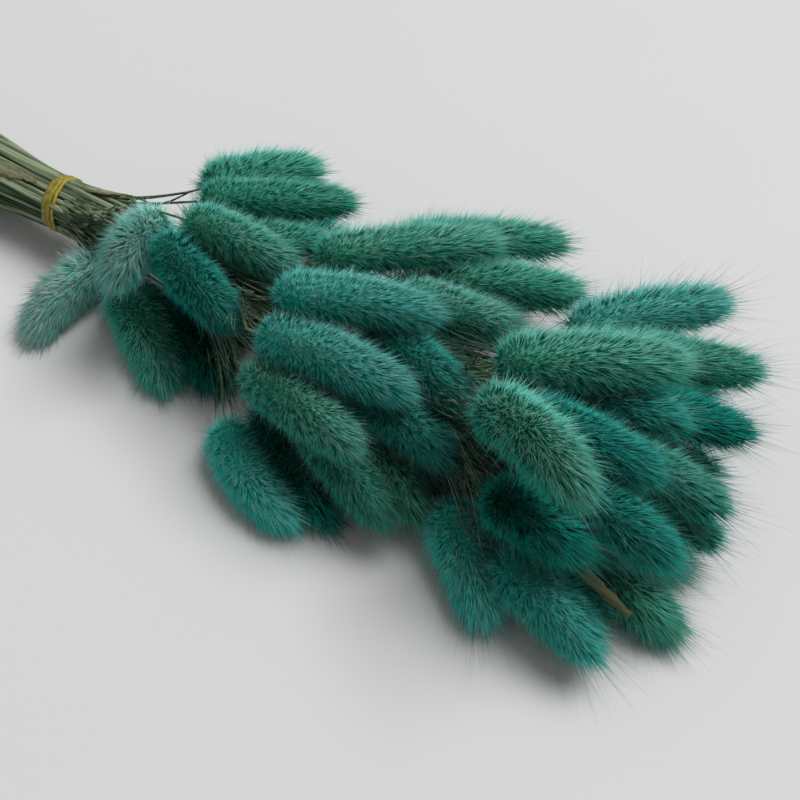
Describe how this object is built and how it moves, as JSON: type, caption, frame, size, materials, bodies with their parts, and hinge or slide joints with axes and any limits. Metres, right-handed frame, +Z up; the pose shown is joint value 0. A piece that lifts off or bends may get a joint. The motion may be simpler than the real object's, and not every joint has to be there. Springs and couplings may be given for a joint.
{
  "type": "dried bunny tail grass bunch",
  "caption": "Bunch of dried, dyed bunny tail grass: soft furry heads in tiers on thin stems, tied with a rubber band and lying on its side.",
  "frame": {"origin": "on the surface that the bunch lies on, under the middle of its bounding box", "axes": "+X along the bunch from the cut stem ends to the heads, +Z up from the surface, +Y to the left of +X"},
  "size_m": [0.3782, 0.1328, 0.0639],
  "materials": {
    "flower_head": "soft dyed fur of fine hairs, matte",
    "dry_stem": "dried grass stem in its leaf sheath, finely streaked, matte",
    "dry_leaf": "dry papery leaf with parallel veins, matte",
    "rubber_band": "satin yellow rubber"
  },
  "bodies": {
    "root": {"head_lower_01": "flower_head", "head_lower_02": "flower_head", "head_lower_03": "flower_head", "head_lower_04": "flower_head", "head_lower_05": "flower_head", "head_lower_06": "flower_head", "head_lower_07": "flower_head", "head_lower_08": "flower_head", "head_lower_09": "flower_head", "head_lower_10": "flower_head", "head_lower_11": "flower_head", "head_lower_12": "flower_head", "head_middle_01": "flower_head", "head_middle_02": "flower_head", "head_middle_03": "flower_head", "head_middle_04": "flower_head", "head_middle_05": "flower_head", "head_middle_06": "flower_head", "head_middle_07": "flower_head", "head_middle_08": "flower_head", "head_middle_09": "flower_head", "head_middle_10": "flower_head", "head_middle_11": "flower_head", "head_middle_12": "flower_head", "head_middle_13": "flower_head", "head_middle_14": "flower_head", "head_middle_15": "flower_head", "head_middle_16": "flower_head", "head_top_01": "flower_head", "head_top_02": "flower_head", "head_top_03": "flower_head", "head_top_04": "flower_head", "head_top_05": "flower_head", "head_top_06": "flower_head", "head_top_07": "flower_head", "head_top_08": "flower_head", "head_top_09": "flower_head", "head_top_10": "flower_head", "head_top_11": "flower_head", "head_top_12": "flower_head", "head_top_13": "flower_head", "head_top_14": "flower_head", "head_top_15": "flower_head", "head_top_16": "flower_head", "head_top_17": "flower_head", "head_top_18": "flower_head", "head_top_19": "flower_head", "stems": "dry_stem", "rubber_band": "rubber_band", "leaf_behind_tie_top": "dry_leaf", "leaf_behind_tie_front": "dry_leaf", "leaf_past_tie_top": "dry_leaf", "leaf_past_tie_front": "dry_leaf", "leaf_past_tie_under": "dry_leaf", "leaf_stub": "dry_leaf", "leaf_top_tier": "dry_leaf"}
  },
  "joints": []
}
